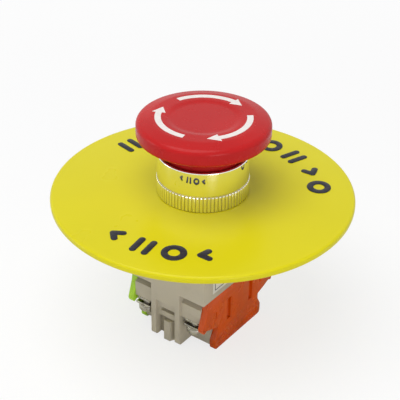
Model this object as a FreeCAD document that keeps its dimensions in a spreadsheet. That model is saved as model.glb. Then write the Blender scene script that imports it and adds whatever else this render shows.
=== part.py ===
import FreeCAD, Part
import math
import os
import Sketcher

# Twist-release emergency stop button for a 22 mm panel hole.
# +Z runs up the button's axis, +X towards the normally closed contact module.
# The origin is on that axis, in the plane of the legend plate's underside, where the panel lies.
# Lengths are in millimetres and angles in degrees.

DIMENSIONS = {
    # legend plate and its marks
    "plate_radius": 45.0, "plate_thick": 2.3, "plate_round": 0.85, "plate_hole": 11.2,
    "mark_radius": 34.6, "mark_size": 7.2, "mark_stroke": 1.95, "mark_raise": 0.2,
    "gasket_inner": 12.2, "gasket_outer": 16.2, "gasket_thick": 0.7,
    # bezel ring
    "ring_radius": 13.55, "ring_top": 15.2, "ring_bore": 11.1, "ring_mouth": 12.8, "ring_step": 8.6,
    "knurl_radius": 13.78, "knurl_top": 7.2, "knurl_depth": 0.3, "knurl_count": 78,
    # mushroom head
    "head_radius": 19.55, "head_top": 26.2, "head_edge": 25.3, "head_flat": 15.3,
    "head_under": 20.5, "dish_radius": 11.0, "dish_depth": 0.35,
    "skirt_outer": 12.1, "skirt_inner": 10.6, "skirt_end": 13.9, "head_ceiling": 23.0, "hollow_top": 23.5,
    "head_round": 1.7, "rim_round": 0.95, "rib_thick": 1.0, "rib_count": 12,
    "arrow_inner": 12.3, "arrow_outer": 14.1, "arrow_wing": 1.1, "arrow_sweep": 76.0,
    "arrow_point": 15.5, "arrow_turn": -50.0, "arrow_deep": 0.4, "arrow_proud": 0.06,
    # twist hub, stem and latch pins
    "hub_radius": 9.9, "hub_foot": 14.4, "hub_bore": 4.55, "hub_core": 5.4, "hub_well": 8.6,
    "well_top": 18.6, "hub_shelf": 21.2, "hub_seat": 20.6, "seat_radius": 6.4,
    "cap_screw_x": 7.3, "cap_screw_foot": 17.6, "stem_radius": 4.5, "stem_top": 22.4,
    "collar_radius": 7.0, "collar_low": 0.8, "collar_high": 5.2, "rod_radius": 3.9, "rod_end": -15.2,
    "groove_foot": 21.0, "clip_radius": 6.0, "pin_radius": 1.0, "pin_level": 3.0,
    "pin_inner": 3.05, "pin_outer": 7.25, "running_gap": 0.05,
    # mean radii of the springs' coils
    "twist_coil": 6.9, "return_coil": 5.55, "carrier_coil": 1.45, "contact_coil": 1.35,
    # threaded neck, nut and collar plate
    "neck_radius": 11.0, "neck_top": 8.4, "neck_bore": 7.6, "chamber_radius": 9.0, "spring_bore": 6.5,
    "spring_seat": -9.5, "thread_pitch": 1.5, "thread_depth": 0.5, "panel_gap": 3.0,
    "nut_thick": 5.0, "nut_circle": 16.2, "flange_x": 10.0, "flange_y": 16.6, "flange_top": -9.4,
    # base block
    "block_x": 14.35, "block_y": 18.25, "block_top": -11.0, "block_low": -24.0, "base_low": -42.9,
    "fin_inner": 3.6, "fin_outer": 5.4, "module_face": 12.4, "core_y": 12.0, "bay_y": 17.2,
    "bay_low": -32.1, "sill_low": -29.3, "step_low": -35.5, "step_y": 17.0, "web_y": 15.5,
    "post_circle": 2.2, "post_y": 15.6, "post_top": -36.5, "post_low": -43.7,
    "groove_x": 2.6, "groove_high": -32.2, "groove_low": -33.5, "fin_round": 1.1,
    "chamber_x": 12.2, "chamber_y": 8.0, "chamber_top": -12.6, "cavity_x": 6.2, "cavity_y": 10.8,
    "cavity_low": -41.6, "chamber_low": -24.6,
    # contact modules
    "module_x": 9.2, "cover_face": 14.4, "strip_half": 2.3, "strip_thick": 0.8, "strip_level": -32.1,
    "arm_level": -26.2, "arm_inner": 3.9, "leg_outer": 9.4, "tip_radius": 1.3, "tip_thick": 0.5,
    "tip_y": 5.5, "bridge_half_x": 1.8, "bridge_half_y": 7.0, "bridge_thick": 0.8,
    "carrier_half_x": 2.4, "carrier_half_y": 3.0, "carrier_top": -16.5, "carrier_low": -30.6,
    "contact_gap": 0.05, "open_gap": 3.05, "lost_motion": 2.0,
    "yoke_x": 11.6, "yoke_y": 3.2, "yoke_low": -16.4, "yoke_top": -14.0,
    # terminals
    "screw_y": 14.9, "screw_shank": 1.6, "screw_head": 2.9, "head_low": -36.7, "washer_top": -34.6,
    "washer_low": -35.2, "clamp_top": -33.9, "clamp_half": 2.7, "screw_tip": -27.5,
}

SIDES = (-1, 1)
V = FreeCAD.Vector

doc = FreeCAD.newDocument("emergency_stop_button")
sheet = doc.addObject("Spreadsheet::Sheet", "d")
for row, (alias, number) in enumerate(DIMENSIONS.items(), 1):
    sheet.set(f"A{row}", alias)
    sheet.set(f"B{row}", str(number))
    sheet.setAlias(f"B{row}", alias)
doc.recompute()

nodes = []


def number(expression):
    """The value that an expression on the sheet's names has now."""
    return float(sheet.evalExpression(expression))


def keep(item, label):
    """Marks a document object as one sub-part of the assembly."""
    item.Label = label
    nodes.append(item)
    return item


def bind(item, **properties):
    """Binds properties of an object to expressions."""
    for name, expression in properties.items():
        item.setExpression(name, expression)
    return item


def put(item, x="0", y="0", z="0"):
    """Binds an object's place to three expressions."""
    for axis, expression in (("x", x), ("y", y), ("z", z)):
        item.setExpression(f"Placement.Base.{axis}", expression)
    return item


def box(name, x, y, z):
    """A box between two expressions along each axis."""
    item = doc.addObject("Part::Box", name)
    sizes = [f"({high}) - ({low})" for low, high in (x, y, z)]
    bind(item, Length=sizes[0], Width=sizes[1], Height=sizes[2])
    return put(item, x[0], y[0], z[0])


def both_ways(name, half_x, half_y, z):
    """A box centred on the axis, between two heights."""
    return box(name, (f"-({half_x})", half_x), (f"-({half_y})", half_y), z)


def rod(name, radius, z, x="0", y="0", turn=None):
    """A cylinder between two heights, or along turn's axis when one is given."""
    item = doc.addObject("Part::Cylinder", name)
    bind(item, Radius=radius, Height=f"({z[1]}) - ({z[0]})")
    if turn is not None:
        item.Placement = FreeCAD.Placement(V(), turn)
        return put(item, x, y, "0")
    return put(item, x, y, z[0])


def fuse(name, *pieces):
    item = doc.addObject("Part::MultiFuse", name)
    item.Shapes = list(pieces)
    item.Refine = True
    return item


def cut(name, base, *tools):
    item = doc.addObject("Part::Cut", name)
    item.Base = base
    item.Tool = tools[0] if len(tools) == 1 else group(name + "_tools", tools)
    return item


def group(name, pieces):
    """Several separate solids in one object."""
    item = doc.addObject("Part::Compound", name)
    item.Links = list(pieces)
    return item


def origin_plane(body, role):
    return next(item for item in body.Origin.OriginFeatures if item.Role == role)


def sketch(body, name, role, lift="0"):
    """A sketch on one of the body's own origin planes, lifted along its normal."""
    item = body.newObject("Sketcher::SketchObject", name)
    item.AttachmentSupport = [(origin_plane(body, role), "")]
    item.MapMode = "FlatFace"
    item.setExpression("AttachmentOffset.Base.z", lift)
    return item


def draw(outline, corners):
    """Draws a closed outline of straight sides, each corner bound to two expressions."""
    spots = [V(number(across), number(up), 0) for across, up in corners]
    count = len(corners)
    for index in range(count):
        outline.addGeometry(Part.LineSegment(spots[index], spots[(index + 1) % count]))
    first = outline.GeometryCount - count
    for index, (across, up) in enumerate(corners):
        line = first + index
        following = first + (index + 1) % count
        outline.addConstraint(Sketcher.Constraint("Coincident", line, 2, following, 1))
        for kind, expression, value in (
            ("DistanceX", across, spots[index].x), ("DistanceY", up, spots[index].y),
        ):
            place = outline.addConstraint(Sketcher.Constraint(kind, -1, 1, line, 1, value))
            outline.setExpression(f"Constraints[{place}]", expression)


def turned(label, corners):
    """A body of revolution about Z. Each corner gives a radius and a height."""
    body = doc.addObject("PartDesign::Body", label + "_body")
    profile = sketch(body, label + "_profile", "XZ_Plane")
    draw(profile, corners)
    spin = body.newObject("PartDesign::Revolution", label + "_turned")
    spin.Profile = profile
    spin.ReferenceAxis = (profile, ["V_Axis"])
    spin.Angle = 360
    doc.recompute()
    return body


def round_edges(body, label, size, wanted):
    """Rounds the edges of the body's tip for which wanted(edge) is true."""
    tip = body.Tip
    names = [f"Edge{i}" for i, edge in enumerate(tip.Shape.Edges, 1) if wanted(edge)]
    if not names:
        raise RuntimeError("no edge to round on " + label)
    item = body.newObject("PartDesign::Fillet", label)
    item.Base = (tip, names)
    item.setExpression("Radius", size)
    doc.recompute()
    return item


def circle_at(radius, height):
    """A test for a circular edge about Z with this radius and height."""
    def wanted(edge):
        curve = edge.Curve
        return (
            isinstance(curve, Part.Circle)
            and abs(curve.Radius - number(radius)) < 0.01
            and abs(curve.Center.z - number(height)) < 0.01
        )
    return wanted


def pocket(body, label, outline, length, upwards=True):
    """Cuts a sketch's shape out of the body, and checks that it removed something."""
    before = body.Tip.Shape.Volume
    item = body.newObject("PartDesign::Pocket", label)
    item.Profile = outline
    item.Type = 0
    item.setExpression("Length", length)
    item.Reversed = upwards
    doc.recompute()
    if item.Shape.Volume >= before:
        raise RuntimeError(label + " cuts nothing")
    return item


def repeat_round(body, label, feature, outline, count):
    """Repeats a feature round the sketch's normal."""
    item = body.newObject("PartDesign::PolarPattern", label)
    item.Originals = [feature]
    item.Axis = (outline, ["N_Axis"])
    item.Angle = 360
    item.setExpression("Occurrences", count)
    body.Tip = item
    doc.recompute()
    return item


def coil(label, radius, wire, low, high, half_turns, x="0"):
    """A round-wire spring about an upright axis, built of half turns that each rise by half the pitch."""
    rise = f"((({high}) - ({low}) - ({wire})) / {half_turns})"
    tilt = math.degrees(math.atan(number(rise) / (2 * number(radius))))
    spots = []
    for half in range(half_turns):
        piece = doc.addObject("Part::Torus", f"{label}_half_{half}")
        bind(piece, Radius1=f"sqrt(({radius}) ^ 2 + ({rise} / 2) ^ 2)", Radius2=f"({wire}) / 2")
        piece.Angle3 = 180
        odd = half % 2
        lean = FreeCAD.Rotation(V(0, 1, 0), -tilt if odd else tilt)
        piece.Placement = FreeCAD.Placement(V(), lean * FreeCAD.Rotation(V(0, 0, 1), 180 * odd))
        spots.append(put(piece, x, "0", f"({low}) + ({wire}) / 2 + {rise} * {half + 0.5}"))
    return fuse(label, *spots)


def on_module(side, offset="0"):
    """The X of a module's middle plane, plus an offset away from the block's middle."""
    return f"{side} * (d.module_x + ({offset}))"


def span(side, near, far):
    """Orders two distances from the middle as low and high along an axis."""
    low, high = (near, far) if side > 0 else (far, near)
    return (f"{side} * ({low})", f"{side} * ({high})")


# ---------------------------------------------------------------- legend plate

def legend_plate():
    """Round plate with rounded rims, a hole for the neck and a gasket groove below."""
    body = turned("legend_plate", [
        ("d.plate_hole", "0"), ("d.gasket_inner", "0"), ("d.gasket_inner", "d.gasket_thick"),
        ("d.gasket_outer", "d.gasket_thick"), ("d.gasket_outer", "0"), ("d.plate_radius", "0"),
        ("d.plate_radius", "d.plate_thick"), ("d.plate_hole", "d.plate_thick"),
    ])
    round_edges(body, "plate_top_round", "d.plate_round", circle_at("d.plate_radius", "d.plate_thick"))
    round_edges(body, "plate_low_round", "d.plate_round", circle_at("d.plate_radius", "0"))
    keep(body, "legend_plate")


def plate_gasket():
    clear = "d.running_gap"
    keep(turned("plate_gasket", [
        (f"d.gasket_inner + {clear}", "0"), (f"d.gasket_outer - {clear}", "0"),
        (f"d.gasket_outer - {clear}", "d.gasket_thick"), (f"d.gasket_inner + {clear}", "d.gasket_thick"),
    ]), "plate_gasket")


def stroke(name, length, x="0", y="0", turn=0.0):
    """A flat bar with round ends, centred on x, y and turned about its own middle."""
    top = "d.mark_raise"
    half = f"({length} - d.mark_stroke) / 2"
    middle = both_ways(name + "_bar", half, "d.mark_stroke / 2", ("0", top))
    ends = [
        rod(f"{name}_end_{side}", "d.mark_stroke / 2", ("0", top), f"{side} * ({half})")
        for side in (-1, 1)
    ]
    bar = fuse(name, middle, *ends)
    bar.Placement = FreeCAD.Placement(V(), FreeCAD.Rotation(V(0, 0, 1), turn))
    return put(bar, x, y)


def mark_bars(name):
    """Two short bars side by side, pointing at the button."""
    apart = "d.mark_stroke * 0.95"
    return [stroke(f"{name}_{side}", "d.mark_size", y=f"{side} * {apart}") for side in SIDES]


def mark_ring(name):
    """A plain ring."""
    outer = rod(name + "_outer", "d.mark_size / 2", ("0", "d.mark_raise"))
    inner = rod(name + "_inner", "d.mark_size / 2 - d.mark_stroke", ("-1", "d.mark_raise + 1"))
    return [cut(name, outer, inner)]


def mark_chevron(name):
    """Two bars meeting in a point that shows the way the head is twisted."""
    slope = 52.0
    arm = "d.mark_size * 0.66"
    reach = f"({arm} - d.mark_stroke) / 2"
    arms = [
        stroke(
            f"{name}_{side}", arm,
            x=f"{side} * ({reach}) * cos({slope} deg)",
            y=f"({reach}) * sin({slope} deg) - d.mark_stroke * 0.9",
            turn=side * slope,
        )
        for side in SIDES
    ]
    return [fuse(name, *arms)]


def plate_marks():
    """Raised direction and stop marks on two arcs round the head."""
    arcs = (
        (168.0, -16.1, (mark_bars, mark_chevron, mark_ring) * 3),
        (-96.2, 14.9, (mark_chevron, mark_bars, mark_ring, mark_chevron)),
    )
    marks = []
    for arc, (start, step, kinds) in enumerate(arcs):
        for place, kind in enumerate(kinds):
            angle = start + step * place
            mark = group(f"mark_{arc}_{place}", kind(f"mark_{arc}_{place}_part"))
            mark.Placement = FreeCAD.Placement(V(), FreeCAD.Rotation(V(0, 0, 1), angle))
            across, along = (f"d.mark_radius * {part}({angle} deg)" for part in ("cos", "sin"))
            marks.append(put(mark, across, along, "d.plate_thick"))
    keep(group("plate_marks", marks), "plate_marks")


# ------------------------------------------------------------------ bezel ring

def bezel_ring():
    """Plated ring screwed on the neck: knurled band below, plain barrel above."""
    body = turned("bezel_ring", [
        ("d.ring_bore", "d.plate_thick"), ("d.knurl_radius - 0.25", "d.plate_thick"),
        ("d.knurl_radius", "d.plate_thick + 0.25"), ("d.knurl_radius", "d.knurl_top - 0.12"),
        ("d.knurl_radius - 0.12", "d.knurl_top"), ("d.ring_radius - 0.1", "d.knurl_top"),
        ("d.ring_radius - 0.1", "d.knurl_top + 0.25"), ("d.ring_radius", "d.knurl_top + 0.4"),
        ("d.ring_radius", "d.ring_top - 0.25"), ("d.ring_radius - 0.25", "d.ring_top"),
        ("d.ring_mouth + 0.15", "d.ring_top"), ("d.ring_mouth", "d.ring_top - 0.15"),
        ("d.ring_mouth", "d.ring_step"), ("d.ring_bore", "d.ring_step"),
    ])
    notch = sketch(body, "knurl_notch", "XY_Plane", "d.plate_thick - 0.1")
    half = "pi * d.knurl_radius / d.knurl_count"
    draw(notch, [
        ("d.knurl_radius - d.knurl_depth", "0"), ("d.knurl_radius + 0.1", f"-({half}) * 0.72"),
        ("d.knurl_radius + 0.1", f"({half}) * 0.72"),
    ])
    groove = pocket(body, "knurl_groove", notch, "d.knurl_top - d.plate_thick + 0.1")
    repeat_round(body, "knurl", groove, notch, "d.knurl_count")
    keep(body, "bezel_ring")


# --------------------------------------------------------------- mushroom head

def arrow_inlays():
    """Three curved arrows, clockwise seen from above, set in the head's top."""
    body = doc.addObject("PartDesign::Body", "arrow_body")
    shape = sketch(body, "arrow_outline", "XY_Plane", "d.head_top - d.arrow_deep")
    turn, sweep, point = (
        math.radians(number("d." + alias)) for alias in ("arrow_turn", "arrow_sweep", "arrow_point")
    )
    inner, outer, wing = (number("d." + alias) for alias in ("arrow_inner", "arrow_outer", "arrow_wing"))
    neck = turn + point
    tail = neck + sweep

    def at(radius, angle):
        return V(radius * math.cos(angle), radius * math.sin(angle), 0)

    for radius in (inner, outer):
        shape.addGeometry(Part.ArcOfCircle(Part.Circle(V(), V(0, 0, 1), radius), neck, tail))
    corners = (
        at(inner, neck), at(inner - wing, neck), at((inner + outer) / 2, turn),
        at(outer + wing, neck), at(outer, neck),
    )
    for start, end in zip(corners, corners[1:]):
        shape.addGeometry(Part.LineSegment(start, end))
    shape.addGeometry(Part.LineSegment(at(inner, tail), at(outer, tail)))
    shape.addConstraint(Sketcher.Constraint("Coincident", 0, 3, -1, 1))
    shape.addConstraint(Sketcher.Constraint("Coincident", 1, 3, -1, 1))
    for line, alias in ((0, "d.arrow_inner"), (1, "d.arrow_outer")):
        size = shape.addConstraint(Sketcher.Constraint("Radius", line, number(alias)))
        shape.setExpression(f"Constraints[{size}]", alias)
    pad = body.newObject("PartDesign::Pad", "arrow_pad")
    pad.Profile = shape
    pad.setExpression("Length", "d.arrow_deep + d.arrow_proud")
    doc.recompute()
    repeat_round(body, "arrow_pattern", pad, shape, "3")
    return keep(body, "arrow_inlays")


def mushroom_cap(arrows):
    """Moulded head: dished top, sloping shoulder, ribbed hollow underside and a skirt."""
    wall = "d.skirt_outer + 0.9"
    body = turned("cap_blank", [
        ("0", "d.head_top - d.dish_depth"), ("d.dish_radius - 1.6", "d.head_top - d.dish_depth"),
        ("d.dish_radius", "d.head_top"), ("d.head_flat", "d.head_top"), ("d.head_radius", "d.head_edge"),
        ("d.head_radius", "d.head_under"), ("d.head_radius - 2", "d.head_under"),
        ("d.head_radius - 2.2", "d.hollow_top"),
        (wall, "d.hollow_top"), (wall, "d.head_under"), ("d.skirt_outer", "d.head_under"),
        ("d.skirt_outer", "d.skirt_end"), ("d.skirt_inner", "d.skirt_end"),
        ("d.skirt_inner", "d.head_ceiling"), ("0", "d.head_ceiling"),
    ])
    round_edges(body, "head_round", "d.head_round", circle_at("d.head_radius", "d.head_edge"))
    round_edges(body, "rim_round", "d.rim_round", circle_at("d.head_radius", "d.head_under"))
    rib = sketch(body, "rib_outline", "XY_Plane", "d.head_under + 0.5")
    draw(rib, [
        (f"{wall} - 0.3", "-d.rib_thick / 2"), ("d.head_radius - 1.7", "-d.rib_thick / 2"),
        ("d.head_radius - 1.7", "d.rib_thick / 2"), (f"{wall} - 0.3", "d.rib_thick / 2"),
    ])
    pad = body.newObject("PartDesign::Pad", "rib_pad")
    pad.Profile = rib
    pad.setExpression("Length", "d.hollow_top - d.head_under - 0.3")
    doc.recompute()
    repeat_round(body, "ribs", pad, rib, "d.rib_count")
    deep = ("d.head_ceiling - 1", "d.head_ceiling + 1.4")
    holes = [rod(f"cap_hole_{side}", "0.72", deep, f"{side} * d.cap_screw_x") for side in SIDES]
    keep(cut("mushroom_cap", body, arrows, *holes), "mushroom_cap")


def twist_hub():
    """Hub inside the head that turns on the stem."""
    body = turned("hub_blank", [
        ("d.hub_bore", "d.hub_foot"), ("d.hub_core", "d.hub_foot"), ("d.hub_core", "d.well_top"),
        ("d.hub_well", "d.well_top"), ("d.hub_well", "d.hub_foot"), ("d.hub_radius", "d.hub_foot"),
        ("d.hub_radius", "d.hub_shelf"), ("d.skirt_inner - 0.1", "d.hub_shelf"),
        ("d.skirt_inner - 0.1", "d.head_ceiling"), ("d.seat_radius", "d.head_ceiling"),
        ("d.seat_radius", "d.hub_seat"), ("d.hub_bore", "d.hub_seat"),
    ])
    deep = ("d.well_top - 0.6", "d.head_ceiling + 1")
    holes = [rod(f"hub_hole_{side}", "0.75", deep, f"{side} * d.cap_screw_x") for side in SIDES]
    keep(cut("twist_hub", body, *holes), "twist_hub")


def small_screw(name, shank, length, head, thick, x, y, foot):
    """A pan-head screw with its head below, a cross recess in it and its tip up."""
    head_disc = rod(name + "_head", head, (foot, f"{foot} + {thick}"), x, y)
    body = rod(name + "_shank", shank, (f"{foot} + {thick}", f"{foot} + {thick} + {length}"), x, y)
    solid = fuse(name + "_solid", head_disc, body)
    deep = f"{foot} + {thick} * 0.5"
    reach, width = f"{head} * 0.6", f"{head} * 0.14"
    slots = [
        box(f"{name}_slot_a", (f"{x} - {reach}", f"{x} + {reach}"), (f"{y} - {width}", f"{y} + {width}"),
            (f"{foot} - 1", deep)),
        box(f"{name}_slot_b", (f"{x} - {width}", f"{x} + {width}"), (f"{y} - {reach}", f"{y} + {reach}"),
            (f"{foot} - 1", deep)),
    ]
    return cut(name, solid, *slots)


def cap_screws():
    screws = [
        small_screw(
            f"cap_screw_{side}", "0.7", "5.6", "1.15", "1.0",
            f"({side} * d.cap_screw_x)", "0", "d.cap_screw_foot",
        )
        for side in SIDES
    ]
    keep(group("cap_screws", screws), "cap_screws")


# ----------------------------------------------------- plunger, pins and springs

def actuator_stem():
    """Stepped rod that carries the head above and the yoke below."""
    body = turned("stem_blank", [
        ("0", "d.rod_end"), ("d.rod_radius", "d.rod_end"), ("d.rod_radius", "d.collar_low"),
        ("d.collar_radius", "d.collar_low"), ("d.collar_radius", "d.collar_high"),
        ("d.stem_radius", "d.collar_high"), ("d.stem_radius", "d.groove_foot"),
        ("d.stem_radius - 0.6", "d.groove_foot"), ("d.stem_radius - 0.6", "d.groove_foot + 0.8"),
        ("d.stem_radius", "d.groove_foot + 0.8"), ("d.stem_radius", "d.stem_top - 0.4"),
        ("d.stem_radius - 0.4", "d.stem_top"), ("0", "d.stem_top"),
    ])
    along_x = FreeCAD.Rotation(V(0, 1, 0), 90)
    bores = []
    for side in SIDES:
        start = "d.pin_inner - 0.05" if side > 0 else "-d.collar_radius - 1"
        bore = rod(
            f"pin_bore_{side}", "d.pin_radius + d.running_gap", ("0", "d.collar_radius - 2"),
            start, "0", along_x,
        )
        bores.append(put(bore, start, "0", "d.pin_level"))
    tapping = rod("rod_tapping", "1.25", ("d.rod_end - 1", "-8"))
    keep(cut("actuator_stem", body, *bores, tapping), "actuator_stem")


def latch_pins():
    """Two pins that move out of the collar as the stem goes down."""
    along_x = FreeCAD.Rotation(V(0, 1, 0), 90)
    for side, label in ((1, "latch_pin_right"), (-1, "latch_pin_left")):
        start = "d.pin_inner" if side > 0 else "-d.pin_outer"
        pin = rod(label, "d.pin_radius", ("d.pin_inner", "d.pin_outer"), start, "0", along_x)
        keep(put(pin, start, "0", "d.pin_level"), label)


def hub_clip():
    """Open retaining clip in the stem's groove."""
    low, high = "d.groove_foot + 0.05", "d.groove_foot + 0.75"
    inner, outer = "d.stem_radius - 0.55", "d.clip_radius"
    ring = turned("clip_blank", [(inner, low), (outer, low), (outer, high), (inner, high)])
    gap = box("clip_gap", ("-1.2", "1.2"), ("0", f"{outer} + 2"), (f"{low} - 1", f"{high} + 1"))
    keep(cut("hub_clip", ring, gap), "hub_clip")


def yoke():
    """Cross-bar on the stem's foot that presses both contact carriers."""
    bar = box("yoke_bar", ("-d.yoke_x", "d.yoke_x"), ("-d.yoke_y", "d.yoke_y"), ("d.yoke_low", "d.yoke_top"))
    boss = rod("yoke_boss", "d.rod_radius + 1.5", ("d.yoke_low", "d.yoke_top + 1"))
    socket = rod("yoke_socket", "d.rod_radius + 0.02", ("d.rod_end", "-12"))
    hole = rod("yoke_hole", "1.6", ("d.yoke_low - 1", "d.rod_end + 1"))
    keep(cut("pusher_yoke", fuse("yoke_solid", bar, boss), socket, hole), "pusher_yoke")
    screw = small_screw("pusher_screw", "1.2", "8.0", "2.6", "1.8", "0", "0", "(d.yoke_low - 1.8)")
    keep(screw, "pusher_screw")


def springs():
    """The springs on the button's axis, and one under each contact carrier."""
    keep(coil("twist_spring", "d.twist_coil", "0.7", "d.hub_foot + 0.5", "d.hub_foot + 3", 4), "twist_spring")
    keep(coil(
        "return_spring", "d.return_coil", "0.85", "d.spring_seat + 0.05", "d.collar_low - 0.05", 10,
    ), "return_spring")
    under_bridge = "d.arm_level - d.strip_thick - 2 * d.tip_thick - d.contact_gap - d.bridge_thick"
    for label, side, top in (("nc_spring", 1, under_bridge), ("no_spring", -1, "d.carrier_low + 1.5")):
        low, high = "d.cavity_low + 0.05", f"{top} - 0.05"
        keep(coil(label, "d.carrier_coil", "0.4", low, high, 16, on_module(side)), label)


# ---------------------------------------------------------- neck, nut and screws

def threaded_neck():
    """Neck that passes through the panel, threaded outside, with the latch chamber inside."""
    turns = int((number("d.neck_top") - number("d.flange_top")) / number("d.thread_pitch"))
    thread = []
    for ridge in range(turns):
        foot = f"(d.neck_top - 0.5 - {ridge} * d.thread_pitch)"
        thread += [
            ("d.neck_radius", foot), ("d.neck_radius - d.thread_depth", f"{foot} - d.thread_pitch * 0.42"),
            ("d.neck_radius", f"{foot} - d.thread_pitch * 0.84"),
        ]
    body = turned("neck_blank", [
        ("d.neck_bore", "d.neck_top"), ("d.neck_radius - 0.5", "d.neck_top"), *thread,
        ("d.neck_radius", "d.block_top"), ("d.rod_radius + 0.1", "d.block_top"),
        ("d.rod_radius + 0.1", "d.spring_seat"), ("d.spring_bore", "d.spring_seat"),
        ("d.spring_bore", "-6.8"), ("d.chamber_radius", "-6.8"), ("d.chamber_radius", "2.2"),
        ("d.neck_bore", "4.6"),
    ])
    flange = box(
        "neck_flange", ("-d.flange_x", "d.flange_x"), ("-d.flange_y", "d.flange_y"),
        ("d.block_top", "d.flange_top"),
    )
    bore = rod("flange_bore", "d.neck_radius - 0.5", ("d.block_top - 1", "0"))
    holes = [
        rod(f"flange_hole_{side}", "1.3", ("d.block_top - 1", "0"), "0", f"{side} * (d.flange_y - 2.6)")
        for side in SIDES
    ]
    plate = cut("flange_plate", flange, bore, *holes)
    keep(fuse("threaded_neck", body, plate), "threaded_neck")


def clamp_nut():
    """Hexagonal nut that clamps the panel against the legend plate."""
    hexagon = doc.addObject("Part::Prism", "nut_hexagon")
    hexagon.Polygon = 6
    bind(hexagon, Circumradius="d.nut_circle", Height="d.nut_thick")
    put(hexagon, z="-d.panel_gap - d.nut_thick")
    crown = doc.addObject("Part::Cone", "nut_crown")
    bind(crown, Radius1="d.nut_circle + 2.4", Radius2="d.nut_circle - 1.1", Height="d.nut_thick + 0.4")
    put(crown, z="-d.panel_gap - d.nut_thick")
    body = doc.addObject("Part::Common", "nut_body")
    body.Base = hexagon
    body.Tool = crown
    bore = rod("nut_bore", "d.neck_radius + 0.1", ("-d.panel_gap - d.nut_thick - 1", "0"))
    keep(cut("clamp_nut", body, bore), "clamp_nut")


def collar_screws():
    """Two screws that hold the neck's flange on the block."""
    screws = []
    for side in SIDES:
        y = f"{side} * (d.flange_y - 2.6)"
        head = rod(f"collar_head_{side}", "2.1", ("d.flange_top", "d.flange_top + 1.1"), "0", y)
        shank = rod(f"collar_shank_{side}", "1.2", ("d.block_top - 5", "d.flange_top"), "0", y)
        slot = box(
            f"collar_slot_{side}", ("-1.5", "1.5"), (f"{y} - 0.3", f"{y} + 0.3"),
            ("d.flange_top + 0.5", "d.flange_top + 2"),
        )
        screws.append(cut(f"collar_screw_{side}", fuse(f"collar_solid_{side}", head, shank), slot))
    keep(group("collar_screws", screws), "collar_screws")


# ------------------------------------------------------------------- base block

def rounded_fin(name, x, y_side):
    """One upright fin with its lower outer corner rounded."""
    body = doc.addObject("PartDesign::Body", name)
    outline = sketch(body, name + "_outline", "YZ_Plane", x[0])
    draw(outline, [
        (f"{y_side} * (d.core_y - 1)", "d.block_low + 1"), (f"{y_side} * d.block_y", "d.block_low + 1"),
        (f"{y_side} * d.block_y", "d.base_low"), (f"{y_side} * (d.core_y - 1)", "d.base_low"),
    ])
    pad = body.newObject("PartDesign::Pad", name + "_pad")
    pad.Profile = outline
    pad.setExpression("Length", "d.fin_outer - d.fin_inner")
    doc.recompute()

    def lower_outer(edge):
        middle = edge.CenterOfMass
        return (
            abs(middle.z - number("d.base_low")) < 0.01
            and abs(abs(middle.y) - number("d.block_y")) < 0.01
            and edge.BoundBox.XLength > 1
        )

    round_edges(body, name + "_round", "d.fin_round", lower_outer)
    return body


def base_solids():
    """The block's outer form, before its chambers are cut."""
    solids = [
        both_ways("upper_block", "d.block_x", "d.block_y", ("d.block_low", "d.block_top")),
        both_ways("column_web", "d.fin_outer", "d.web_y", ("d.base_low", "d.block_low")),
        both_ways("column_step", "d.fin_outer", "d.step_y", ("d.step_low", "d.block_low")),
        both_ways("column_sill", "d.fin_outer", "d.block_y", ("d.sill_low", "d.block_low")),
        both_ways("module_core", "d.module_face", "d.core_y", ("d.base_low", "d.block_low")),
        both_ways("bay_wall", "d.module_face", "d.bay_y", ("d.bay_low", "d.block_low")),
    ]
    for side in SIDES:
        for end in SIDES:
            across = span(side, "d.fin_inner", "d.fin_outer")
            solids.append(rounded_fin(f"fin_{side + 1}_{end + 1}", across, end))
        post = doc.addObject("Part::Prism", f"post_{side + 1}")
        post.Polygon = 6
        bind(post, Circumradius="d.post_circle", Height="d.post_top - d.post_low")
        solids.append(put(post, y=f"{side} * d.post_y", z="d.post_low"))
    return solids


def base_hollows():
    """Everything that is cut out of the block."""
    hollows = [
        both_ways("chamber", "d.chamber_x", "d.chamber_y", ("d.chamber_low", "d.chamber_top")),
        rod("stem_hole", "d.rod_radius + 0.3", ("d.chamber_top - 1", "d.block_top + 1")),
    ]
    for side in SIDES:
        hollows.append(box(
            f"cavity_{side + 1}", span(side, "d.cavity_x", "d.module_face + 1"),
            ("-d.cavity_y", "d.cavity_y"), ("d.cavity_low", "d.block_low"),
        ))
        hollows.append(box(
            f"recess_{side + 1}", ("-d.groove_x", "d.groove_x"), span(side, "d.web_y", "d.block_y"),
            ("d.groove_low", "d.groove_high"),
        ))
        hollows.append(rod(
            f"collar_tapping_{side + 1}", "1.25", ("d.block_top - 6", "d.block_top + 1"),
            "0", f"{side} * (d.flange_y - 2.6)",
        ))
        for end in SIDES:
            tag = f"{side + 1}_{end + 1}"
            slot = span(side, "d.module_x - d.strip_half - 0.1", "d.module_x + d.strip_half + 0.1")
            hollows.append(box(
                "strip_slot_" + tag, slot, span(end, "d.cavity_y - 1", "d.block_y + 1"),
                ("d.strip_level - d.strip_thick - 0.1", "d.strip_level + 0.05"),
            ))
            hollows.append(rod(
                "screw_room_" + tag, "d.screw_shank + 0.4", ("d.bay_low - 1", "d.screw_tip + 0.5"),
                on_module(side), f"{end} * d.screw_y",
            ))
    return hollows


def base_housing():
    keep(cut("base_housing", fuse("base_outer", *base_solids()), *base_hollows()), "base_housing")


def side_label():
    """Blank thin panel on the block's side."""
    keep(box(
        "side_label", ("d.block_x", "d.block_x + 0.15"), ("-13.9", "13.9"), ("-21.9", "d.block_top - 1.6"),
    ), "side_label")


# -------------------------------------------------------------- contact modules

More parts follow.
